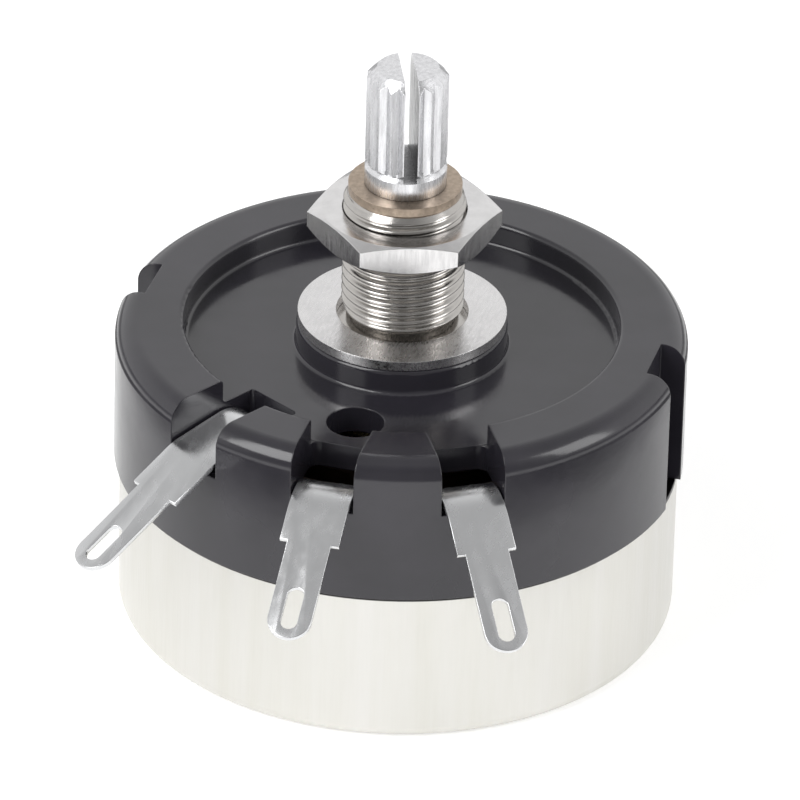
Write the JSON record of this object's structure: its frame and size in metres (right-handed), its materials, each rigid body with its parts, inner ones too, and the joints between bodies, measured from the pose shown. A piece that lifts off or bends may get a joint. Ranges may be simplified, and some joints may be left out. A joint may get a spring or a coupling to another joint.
{
  "type": "wirewound rheostat",
  "caption": "Panel-mounted rotary rheostat: a black moulded housing on a round metal can, a threaded bushing with nut and washer, a split knurled shaft and a row of solder lugs.",
  "frame": {"origin": "centre of the can's flat back", "axes": "+Z runs along the shaft, from the back towards the knob; -Y points to the middle solder lug; +X is to the right of it, seen from the knob end with the lugs towards the viewer"},
  "size_m": [0.0418, 0.0522, 0.0442],
  "materials": {
    "moulded_black": "semi-gloss moulded",
    "satin_can": "satin drawn",
    "insulating_board": "matte board",
    "nickel_plate": "bright plated, turned",
    "nickel_nut": "plated, lightly scratched",
    "plated_washer": "satin stamped",
    "bright_shaft": "bright turned",
    "brass_ring": "fine-grained",
    "bronze": "satin",
    "spring_steel": "satin",
    "rotor_moulding": "moulded",
    "carbon": "matte",
    "rivet_metal": "satin",
    "collector_brass": "bright",
    "tinned_lug": "satin tin plate",
    "resistance_wire": "satin wound wire"
  },
  "bodies": {
    "housing": {"front_housing": "moulded_black", "rear_can": "satin_can", "can_insulator": "insulating_board", "bushing": "nickel_plate", "collector_ring": "collector_brass", "collector_rivet": "rivet_metal", "wiper_lug": "tinned_lug", "middle_lug": "tinned_lug", "right_lug": "tinned_lug", "end_rivets": "rivet_metal", "winding_former": "insulating_board", "resistance_winding": "resistance_wire"},
    "rotor": {"shaft": "bright_shaft", "retaining_ring": "brass_ring", "thrust_washer": "bronze", "shaft_clip": "spring_steel", "rotor_disc": "rotor_moulding", "contact_spring": "bronze", "contact_brush": "carbon", "spring_rivets": "rivet_metal"},
    "nut": {"mounting_nut": "nickel_nut"},
    "washer": {"panel_washer": "plated_washer"}
  },
  "joints": [
    {"name": "shaft_turn", "type": "hinge", "parent": "housing", "child": "rotor", "pos_m": [0, 0, 0.0341], "axis": [0, 0, 1], "range_deg": [-157, 143]},
    {"name": "nut_travel", "type": "slide", "parent": "housing", "child": "nut", "axis": [0, 0, 1], "range_m": [-0.0064, 0.0034]},
    {"name": "washer_turn", "type": "hinge", "parent": "housing", "child": "washer", "pos_m": [0, 0, 0.0233], "axis": [0, 0, 1], "continuous": true}
  ]
}
